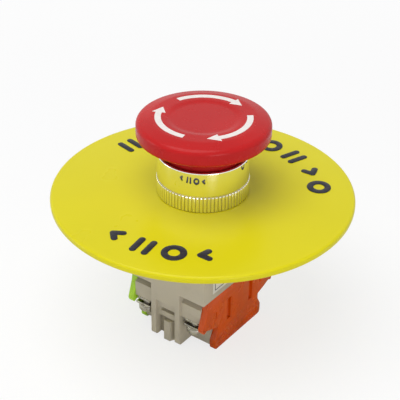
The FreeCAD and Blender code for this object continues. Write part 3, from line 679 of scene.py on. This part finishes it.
def build_cap():
    """Head with a shallow dish, a sloping shoulder, and a hollow underside with ribs."""
    skirt_in, skirt_out, skirt_end = SKIRT
    hollow_in, hollow_out, hollow_top = HOLLOW
    rounds = HEAD_ROUNDS
    dish_floor = HEAD_TOP - DISH["deep"]
    corners = [
        (0, dish_floor, 0), (DISH["floor"], dish_floor, rounds["dish"]),
        (DISH["edge"], HEAD_TOP, rounds["dish"]), (HEAD_FLAT, HEAD_TOP, rounds["dish"]),
        (HEAD_RADIUS, HEAD_EDGE, rounds["shoulder"]),
        (HEAD_RADIUS, HEAD_UNDER, rounds["rim"]), (hollow_out + HOLLOW_DRAFT, HEAD_UNDER, rounds["lip"]),
        (hollow_out - HOLLOW_DRAFT, hollow_top, rounds["hollow"]),
        (hollow_in, hollow_top, rounds["hollow"]),
        (hollow_in, HEAD_UNDER, rounds["foot"]), (skirt_out, HEAD_UNDER, rounds["foot"]),
        (skirt_out, skirt_end, rounds["lip"]), (skirt_in, skirt_end, rounds["lip"]),
        (skirt_in, CEILING, 0), (0, CEILING, 0),
    ]
    bm = bmesh.new()
    turn_path(bm, rounded_path(corners, FINE_STEPS), sizes().segments)
    ribs = HEAD_RIBS
    inner, outer, half = hollow_in - ribs["into_skirt"], hollow_out + ribs["into_rim"], ribs["half"]
    outline = [(inner, -half), (outer, -half), (outer, half), (inner, half)]
    low, high = HEAD_UNDER + ribs["up"], hollow_top + ribs["into_roof"]
    for rib in range(ribs["count"]):
        prism(bm, outline, low, high, Matrix.Rotation(math.tau * rib / ribs["count"], 4, "Z"))
    mesh = mesh_from(bm, "mushroom_cap")
    piece("mushroom_cap_look", mesh, "red_gloss", "head", "red_plastic", "mushroom_cap")


def arrow_outline():
    """One curved arrow, from its point back along its tail."""
    inner, outer = ARROW_RADII
    tip = math.radians(ARROW_TIP)
    neck = tip + math.radians(ARROW_POINT)
    tail = neck + math.radians(ARROW_SWEEP)
    turns = [neck + (tail - neck) * step / ARROW_STEPS for step in range(ARROW_STEPS + 1)]

    def at(radius, angle):
        return (radius * math.cos(angle), radius * math.sin(angle))

    head = [
        at(inner, neck), at(inner - ARROW_WING, neck),
        at((inner + outer) / 2, tip), at(outer + ARROW_WING, neck),
    ]
    return head + [at(outer, turn) for turn in turns] + [at(inner, turn) for turn in reversed(turns[1:])]


def build_arrows():
    """Curved arrows let into the head's top."""
    bm = bmesh.new()
    for arrow in range(ARROWS):
        place = Matrix.Rotation(math.tau * arrow / ARROWS, 4, "Z")
        prism(bm, arrow_outline(), HEAD_TOP - ARROW_SUNK, HEAD_TOP + ARROW_PROUD, place)
    mesh = mesh_from(bm, "arrow_inlays")
    piece("arrow_inlays_look", mesh, "arrow_ink", "head", "white_inlay", "arrow_inlays")


# ------------------------------------------------------------------- legend plate

PLATE_RADIUS = 45.0
PLATE_TOP = 2.3
PLATE_HOLE = 11.2
PLATE_ROUND = 0.85
GASKET = (12.2, 16.2, 0.7)
GASKET_GAP = 0.05
GASKET_ROUND = 0.15
MARK_ROUND = 0.07


def build_plate():
    """Round plate with rounded rims and a gasket groove below."""
    inner, outer, deep = GASKET
    corners = [
        (PLATE_HOLE, 0, 0), (inner, 0, 0), (inner, deep, 0), (outer, deep, 0), (outer, 0, 0),
        (PLATE_RADIUS, 0, PLATE_ROUND), (PLATE_RADIUS, PLATE_TOP, PLATE_ROUND), (PLATE_HOLE, PLATE_TOP, 0),
    ]
    mesh = ring_mesh("legend_plate", rounded_path(corners, FINE_STEPS), sizes().segments)
    piece("legend_plate_look", mesh, "yellow_satin", "housing", "yellow_plate", "legend_plate")
    inner, outer = inner + GASKET_GAP, outer - GASKET_GAP
    seal = [(inner, 0, 0), (outer, 0, GASKET_ROUND), (outer, deep, GASKET_ROUND), (inner, deep, 0)]
    mesh = ring_mesh("plate_gasket", rounded_path(seal), sizes().segments)
    piece("plate_gasket_look", mesh, "seal_rubber", "housing", "rubber", "plate_gasket")
    soften("plate_marks", "mark_print", "black_marks", MARK_ROUND * MM)


# --------------------------------------------------------------------- bezel ring

RING = {"bore": 11.1, "mouth": 12.8, "step": 8.6, "out": 13.55, "top": 15.2}
RING_ROUNDS = {"foot": 0.08, "groove": 0.2, "top": 0.35, "mouth": 0.15}
KNURL = {"out": 13.78, "top": 7.2, "foot_chamfer": 0.25, "top_chamfer": 0.15, "steps": 12}
GROOVE = {"deep": 0.1, "low": 0.25, "high": 0.45}


def flute(angle):
    """0 on the crest of a rib and 1 in the flute beside it."""
    wave = 0.5 - 0.5 * math.cos(angle * sizes().ribs)
    return wave ** 2


def build_ring():
    """Plated ring: a knurled band, a narrow groove and a plain barrel."""
    deep = sizes().knurl_depth / MM

    def radius_at(radius, up, angle):
        on_band = up < KNURL["top"] + 0.01 and radius > RING["out"] - 0.15
        if not on_band:
            return radius
        return min(radius, KNURL["out"] - deep * flute(angle))

    out, top = KNURL["out"], KNURL["top"]
    groove = RING["out"] - GROOVE["deep"]
    corners = [
        (RING["bore"], PLATE_TOP, 0), (out - KNURL["foot_chamfer"], PLATE_TOP, 0),
        (out, PLATE_TOP + KNURL["foot_chamfer"], 0), (out, top - KNURL["top_chamfer"], 0),
        (out - KNURL["top_chamfer"], top, 0), (groove, top, 0),
        (groove, top + GROOVE["low"], RING_ROUNDS["foot"]),
        (RING["out"], top + GROOVE["high"], RING_ROUNDS["groove"]),
        (RING["out"], RING["top"], RING_ROUNDS["top"]),
        (RING["mouth"], RING["top"], RING_ROUNDS["mouth"]), (RING["mouth"], RING["step"], 0),
        (RING["bore"], RING["step"], 0),
    ]
    mesh = ring_mesh("bezel_ring", rounded_path(corners), sizes().ribs * KNURL["steps"], radius_at)
    piece("bezel_ring_look", mesh, "bright_plating", "housing", "chrome", "bezel_ring")


# ------------------------------------------------------------ neck, nut and screws

NECK = {"out": 11.0, "top": 8.4, "bore": 7.6, "chamber": 9.0, "spring": 6.5, "rod": 4.0}
NECK_LEVELS = {"seat": -9.5, "seat_top": -6.8, "chamber_top": 2.2, "bore_foot": 4.6}
NECK_CHAMFER = (0.35, 0.2)
NECK_SEGMENTS = 192
FLANGE = {"x": 10.0, "y": 16.6, "low": -11.0, "top": -9.4, "squareness": 14}
THREAD = {"deep": 0.5, "low": -8.9, "high": 8.2, "low_runout": 0.8, "high_runout": 0.4, "rows": 110}
NUT_ROUND = 0.25
FLANGE_SCREW_ROUND = 0.12


def flange_radius(angle):
    """The outline of the rounded oblong flange, as a distance from the axis."""
    squareness = FLANGE["squareness"]
    across = abs(math.cos(angle) / FLANGE["x"]) ** squareness
    along = abs(math.sin(angle) / FLANGE["y"]) ** squareness
    return max(NECK["out"], (across + along) ** (-1 / squareness))


def build_neck():
    """Neck with a helical thread outside, a stepped bore inside and a flange at its foot."""
    pitch = sizes().thread_pitch / MM
    low, high, rows = THREAD["low"], THREAD["high"], THREAD["rows"]
    flange_row = NECK["out"] + 5

    def radius_at(radius, up, angle):
        if radius == flange_row:
            return flange_radius(angle)
        if radius < NECK["out"] - 0.01 or not low < up < high:
            return radius
        runout = min(1.0, (up - low) / THREAD["low_runout"], (high - up) / THREAD["high_runout"])
        turn = (up / pitch - angle / math.tau) * math.tau
        return radius - THREAD["deep"] * runout * (0.5 - 0.5 * math.cos(turn))

    inwards, down = NECK_CHAMFER
    seat, seat_top = NECK_LEVELS["seat"], NECK_LEVELS["seat_top"]
    path = [
        (NECK["bore"], NECK["top"]), (NECK["out"] - inwards, NECK["top"]), (NECK["out"], NECK["top"] - down),
    ]
    path += [(NECK["out"], high + (low - high) * row / rows) for row in range(rows + 1)]
    path += [
        (NECK["out"], FLANGE["top"]), (flange_row, FLANGE["top"]), (flange_row, FLANGE["low"]),
        (NECK["rod"], FLANGE["low"]), (NECK["rod"], seat), (NECK["spring"], seat),
        (NECK["spring"], seat_top), (NECK["chamber"], seat_top),
        (NECK["chamber"], NECK_LEVELS["chamber_top"]), (NECK["bore"], NECK_LEVELS["bore_foot"]),
    ]
    mesh = ring_mesh("threaded_neck", path, NECK_SEGMENTS, radius_at)
    piece("threaded_neck_look", mesh, "black_moulding", "housing", "dark_plastic", "threaded_neck")
    soften("clamp_nut", "black_moulding", "dark_plastic", NUT_ROUND * MM)
    soften("collar_screws", "zinc_plate", "steel", FLANGE_SCREW_ROUND * MM)


# ------------------------------------------------------------------ block and label

LABEL_FRAME = {"inset": 0.9, "wide": 0.25, "proud": 0.03, "sunk": 0.02}
LABEL_ROUND = 0.05
BAY = {"inner": 5.4, "outer": 12.4, "top": -24.0, "face": 17.2, "back": 15.0, "turn": -26.2, "foot": -26.95}


def bay_pockets():
    """The recess under the overhang of each terminal bay, its floor sloping out to the sill."""
    outline = [
        (BAY["face"] + 1, BAY["top"]), (BAY["back"], BAY["top"]), (BAY["back"], BAY["turn"]),
        (BAY["face"], BAY["foot"]), (BAY["face"] + 1, BAY["foot"]),
    ]
    upright = Matrix(((0, 0, 1, 0), (1, 0, 0, 0), (0, 1, 0, 0), (0, 0, 0, 1)))
    bm = bmesh.new()
    for across in SIDES:
        for along in SIDES:
            place = Matrix.Diagonal((across, along, 1, 1)) @ upright
            prism(bm, outline, BAY["inner"], BAY["outer"], place)
    return mesh_from(bm, "bay_pockets")


def build_label_frame():
    """The thin printed line round the label."""
    (_, low_y, low_z), (face, high_y, high_z) = node_box("side_label")
    inset, wide = LABEL_FRAME["inset"], LABEL_FRAME["wide"]
    left, right = low_y + inset, high_y - inset
    foot, head = low_z + inset, high_z - inset
    spans = [
        ((left, right), (foot, foot + wide)),
        ((left, right), (head - wide, head)),
        ((left, left + wide), (foot + wide, head - wide)),
        ((right - wide, right), (foot + wide, head - wide)),
    ]
    back, front = face - LABEL_FRAME["sunk"], face + LABEL_FRAME["proud"]
    bm = bmesh.new()
    for (start, end), (low, high) in spans:
        prism(bm, [(back, start), (front, start), (front, end), (back, end)], low, high)
    piece("label_frame", mesh_from(bm, "label_frame"), "mark_print", "housing", "black_marks")


def build_block():
    """The moulded block with rounded edges, and the blank film on its side."""
    soften("base_housing", "beige_moulding", "beige_plastic", sizes().edge, bay_pockets())
    soften("side_label", "label_film", "label_film", LABEL_ROUND * MM)
    build_label_frame()


# -------------------------------------------------------------- modules, terminals

COVER_ROUND = 0.2
STRIP_ROUND = 0.1
CLAMP_ROUND = 0.15


def build_modules():
    """The two coloured covers and the strips behind them."""
    soften("nc_module_cover", "orange_clear", "orange_plastic", COVER_ROUND * MM)
    soften("no_module_cover", "green_clear", "green_plastic", COVER_ROUND * MM)
    for node in ("nc_contact_strips", "no_contact_strips"):
        soften(node, "zinc_plate", "steel", STRIP_ROUND * MM)


def build_terminals():
    """Screws, washers and clamp plates of the four terminals."""
    for node in ("terminal_screws", "screw_washers"):
        soften(node, "zinc_plate", "steel", sizes().metal_edge)
    soften("clamp_plates", "zinc_plate", "steel", CLAMP_ROUND * MM)


# ------------------------------------------------------------------------ springs

MODULE_X = 9.2
LOST_MOTION = 2.0
SQUASH_GAP = 0.05
WIRE_SIDES = 12
STEPS_PER_TURN = 40
FLAT_TURNS = 0.75
# mean radius, wire, turns and the axis' distance from the middle
SPRINGS = {
    "return_spring": (5.55, 0.85, 5.5, 0.0),
    "twist_spring": (6.9, 0.7, 2.5, 0.0),
    "nc_spring": (1.45, 0.4, 9, MODULE_X),
    "no_spring": (1.45, 0.4, 9, -MODULE_X),
    "no_contact_spring": (1.35, 0.35, 3.5, -MODULE_X),
}


def coil_mesh(node):
    """A round wire wound about an upright axis as high as its node, its end turns lying flat."""
    radius, wire, turns, middle = SPRINGS[node]
    (_, _, low), (_, _, high) = node_box(node)
    rise = high - low - wire
    count = int(turns * STEPS_PER_TURN)
    flat = FLAT_TURNS / turns
    bm = bmesh.new()
    rings = []
    for step in range(count + 1):
        share = step / count
        climb = min(1.0, max(0.0, (share - flat) / (1 - 2 * flat)))
        angle = math.tau * turns * share
        out = Vector((math.cos(angle), math.sin(angle), 0))
        centre = out * radius + Vector((middle, 0, low + wire / 2 + rise * climb))
        ring = []
        for corner in range(WIRE_SIDES):
            bend = math.tau * corner / WIRE_SIDES
            spot = centre + (out * math.cos(bend) + Vector((0, 0, math.sin(bend)))) * wire / 2
            ring.append(bm.verts.new(spot * MM))
        rings.append(ring)
    for low_ring, high_ring in zip(rings, rings[1:]):
        join_rows(bm, low_ring, high_ring, WIRE_SIDES)
    bm.faces.new(list(reversed(rings[0])))
    bm.faces.new(rings[-1])
    return mesh_from(bm, node)


def spring_ends(node):
    """The lowest and highest points of a spring's axis, in metres."""
    middle = SPRINGS[node][3] * MM
    (_, _, low), (_, _, high) = node_box(node)
    return (middle, 0, low * MM), (middle, 0, high * MM)


def stretch_spring(node):
    """A spring that stands on the housing and is pressed by a moving body; here its coil is built at rest
    and does not shorten.
    """
    item = add_object(node + "_look", coil_mesh(node), "turned_steel")
    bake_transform(item)
    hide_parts(node)


def carried_spring(node, body):
    """A spring that moves with one body."""
    return piece(node + "_look", coil_mesh(node), "turned_steel", body, "steel", node)


def build_springs():
    """Every spring in the button. In the button the open contact's spring takes up the carrier's last
    travel; here its coil rides unchanged on the carrier.
    """
    stretch_spring("return_spring")
    stretch_spring("nc_spring")
    stretch_spring("no_spring")
    carried_spring("twist_spring", "plunger")
    contact = carried_spring("no_contact_spring", "no_carrier")
    foot, head = spring_ends("no_contact_spring")
    keep = 1 - (LOST_MOTION + SQUASH_GAP) * MM / (head[2] - foot[2])
    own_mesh(contact)


def finish_inside():
    """Materials for the pieces inside, whose CAD shape is the real one."""
    polish("black_moulding", "twist_hub", "pusher_yoke", "nc_carrier", "no_carrier")
    polish("zinc_plate", "cap_screws", "pusher_screw", "hub_clip")
    polish("turned_steel", "actuator_stem", "latch_pin_right", "latch_pin_left")
    polish("brass_strip", "nc_bridge", "no_bridge")
    polish("silver_contact", "nc_fixed_tips", "no_fixed_tips", "nc_bridge_tips", "no_bridge_tips")


# -------------------------------------------------------------------------- stage

CAMERA = {
    "azimuth": 36.23, "height": 31.72, "roll": 0.87, "distance": 311.1, "lens": 94.5, "aside": (0.83, 3.36),
    "sensor": 36.0, "nearest": 0.01,
}
LAMPS = (
    ("lamp_top", (-0.05, -0.20, 0.75), 0.8, 5.4),
    ("lamp_left", (-0.70, -0.50, 0.05), 0.3, 0.8),
    ("lamp_right", (0.75, -0.45, 0.05), 0.4, 2.2),
)
AMBIENT = 0.34
FLOOR = {"half": 3.0, "white": 0.76, "fade": (0.06, 0.5)}


def build_floor():
    """A pale floor that keeps the shadow, and shows lighter where the camera sees it straight."""
    low, half = cad_bounds[0][2], FLOOR["half"]
    bm = bmesh.new()
    corners = [bm.verts.new((x * half, y * half, low)) for x, y in ((-1, -1), (1, -1), (1, 1), (-1, 1))]
    bm.faces.new(corners)
    f = Finish("floor_paint")
    f.set(Base_Color=opaque(colours().floor), Roughness=0.9, Specular_IOR_Level=0.1)
    seen, = f.rays("Is Camera Ray")
    glow = f.node("ShaderNodeEmission", {}, {"Color": WHITE, "Strength": 1.0}).outputs[0]
    whiter = f.from_axis().between(*FLOOR["fade"]) * (1 - FLOOR["white"])
    share = seen * (FLOOR["white"] + whiter)
    blend = f.node("ShaderNodeMixShader", {}, {0: share, 1: f.surface.outputs[0], 2: glow})
    output = next(item for item in f.tree.nodes if item.type == "OUTPUT_MATERIAL")
    f.feed(output.inputs["Surface"], blend.outputs[0])
    finishes["floor_paint"] = f.material
    add_object("floor", mesh_from(bm, "floor"), "floor_paint")


def build_world():
    """White where it is seen, in mirrors or straight, and softer as a light."""
    world = bpy.data.worlds.new("studio")
    bpy.context.scene.world = world
    sky = Nodes(world)
    sky.tree.nodes.clear()
    seen, mirrored, through = sky.rays("Is Camera Ray", "Is Glossy Ray", "Is Transmission Ray")
    strength = seen.larger(mirrored).larger(through) * (1 - AMBIENT) + AMBIENT
    background = sky.node("ShaderNodeBackground", {}, {"Color": WHITE, "Strength": strength})
    sky.node("ShaderNodeOutputWorld", {}, {"Surface": background.outputs[0]})


def build_lamps():
    """Soft lamps above and low on each side, all turned to the middle of the plate."""
    for name, place, size, watts in LAMPS:
        light = bpy.data.lights.new(name, "AREA")
        light.shape = "DISK"
        light.size = size
        light.energy = watts
        lamp = bpy.data.objects.new(name, light)
        lamp.location = place
        lamp.rotation_euler = (-Vector(place)).to_track_quat("-Z", "Y").to_euler()
        bpy.context.collection.objects.link(lamp)


def build_camera():
    """A camera up to the right, looking down on the plate."""
    turn, rise, roll = (math.radians(CAMERA[name]) for name in ("azimuth", "height", "roll"))
    forward = Vector((-math.sin(turn) * math.cos(rise), math.cos(turn) * math.cos(rise), -math.sin(rise)))
    level = Vector((math.cos(turn), math.sin(turn), 0))
    upright = level.cross(forward)
    right = level * math.cos(roll) + upright * math.sin(roll)
    up = upright * math.cos(roll) - level * math.sin(roll)
    aside, above = CAMERA["aside"]
    place = Vector((0, 0, PLATE_TOP)) - (right * aside + up * above + forward * CAMERA["distance"])
    data = bpy.data.cameras.new("camera")
    data.lens = CAMERA["lens"]
    data.sensor_width = CAMERA["sensor"]
    data.clip_start = CAMERA["nearest"]
    camera = bpy.data.objects.new("camera", data)
    axes = Matrix((right, up, -forward)).transposed().to_4x4()
    camera.matrix_world = Matrix.Translation(place * MM) @ axes
    bpy.context.collection.objects.link(camera)
    bpy.context.scene.camera = camera


def build_stage():
    """Floor, world, lamps and camera."""
    bpy.context.scene.view_settings.view_transform = "Standard"
    build_floor()
    build_world()
    build_lamps()
    build_camera()


# ---------------------------------------------------------------- operators, panel

class BuildOperator:
    """What every operator here shares: it runs its builders in turn."""
    bl_options = {"REGISTER", "UNDO"}
    builders = ()

    def execute(self, context):
        for build in self.builders:
            build()
        return {"FINISHED"}


class STOPBUTTON_OT_head(BuildOperator, bpy.types.Operator):
    """Build the red mushroom head and its arrows"""
    bl_idname = "stop_button.head"
    bl_label = "Head"
    builders = (build_cap, build_arrows)


class STOPBUTTON_OT_plate(BuildOperator, bpy.types.Operator):
    """Build the legend plate, its marks and its gasket"""
    bl_idname = "stop_button.plate"
    bl_label = "Legend plate"
    builders = (build_plate,)


class STOPBUTTON_OT_ring(BuildOperator, bpy.types.Operator):
    """Build the plated bezel ring"""
    bl_idname = "stop_button.ring"
    bl_label = "Bezel ring"
    builders = (build_ring,)


class STOPBUTTON_OT_neck(BuildOperator, bpy.types.Operator):
    """Build the threaded neck, its nut and its screws"""
    bl_idname = "stop_button.neck"
    bl_label = "Neck and nut"
    builders = (build_neck,)


class STOPBUTTON_OT_block(BuildOperator, bpy.types.Operator):
    """Build the contact block and its blank label"""
    bl_idname = "stop_button.block"
    bl_label = "Block"
    builders = (build_block,)


class STOPBUTTON_OT_modules(BuildOperator, bpy.types.Operator):
    """Build the coloured module covers and the terminals"""
    bl_idname = "stop_button.modules"
    bl_label = "Modules and terminals"
    builders = (build_modules, build_terminals)


class STOPBUTTON_OT_inside(BuildOperator, bpy.types.Operator):
    """Build the springs and finish the mechanism inside"""
    bl_idname = "stop_button.inside"
    bl_label = "Springs and mechanism"
    builders = (build_springs, finish_inside)


class STOPBUTTON_OT_stage(BuildOperator, bpy.types.Operator):
    """Set up the floor, the light and the camera"""
    bl_idname = "stop_button.stage"
    bl_label = "Stage"
    builders = (build_stage,)


OPERATORS = (
    STOPBUTTON_OT_head, STOPBUTTON_OT_plate, STOPBUTTON_OT_ring, STOPBUTTON_OT_neck, STOPBUTTON_OT_block,
    STOPBUTTON_OT_modules, STOPBUTTON_OT_inside, STOPBUTTON_OT_stage,
)


class STOPBUTTON_PT_panel(bpy.types.Panel):
    """The settings and the operators of the button"""
    bl_label = "Stop Button"
    bl_idname = "STOPBUTTON_PT_panel"
    bl_space_type = "VIEW_3D"
    bl_region_type = "UI"
    bl_category = "Stop Button"

    def draw(self, context):
        for settings in (context.scene.stop_button_colours, context.scene.stop_button_sizes):
            for name in settings.__annotations__:
                self.layout.prop(settings, name)
        for operator in OPERATORS:
            self.layout.operator(operator.bl_idname)


CLASSES = (StopButtonColours, StopButtonSizes, *OPERATORS, STOPBUTTON_PT_panel)


def register():
    for item in CLASSES:
        bpy.utils.register_class(item)
    bpy.types.Scene.stop_button_colours = PointerProperty(type=StopButtonColours)
    bpy.types.Scene.stop_button_sizes = PointerProperty(type=StopButtonSizes)


def unregister():
    del bpy.types.Scene.stop_button_sizes
    del bpy.types.Scene.stop_button_colours
    for item in reversed(CLASSES):
        bpy.utils.unregister_class(item)


def main():
    """Builds everything."""
    register()
    for operator in OPERATORS:
        group, name = operator.bl_idname.split(".")
        getattr(getattr(bpy.ops, group), name)()


if __name__ == "__main__":
    main()
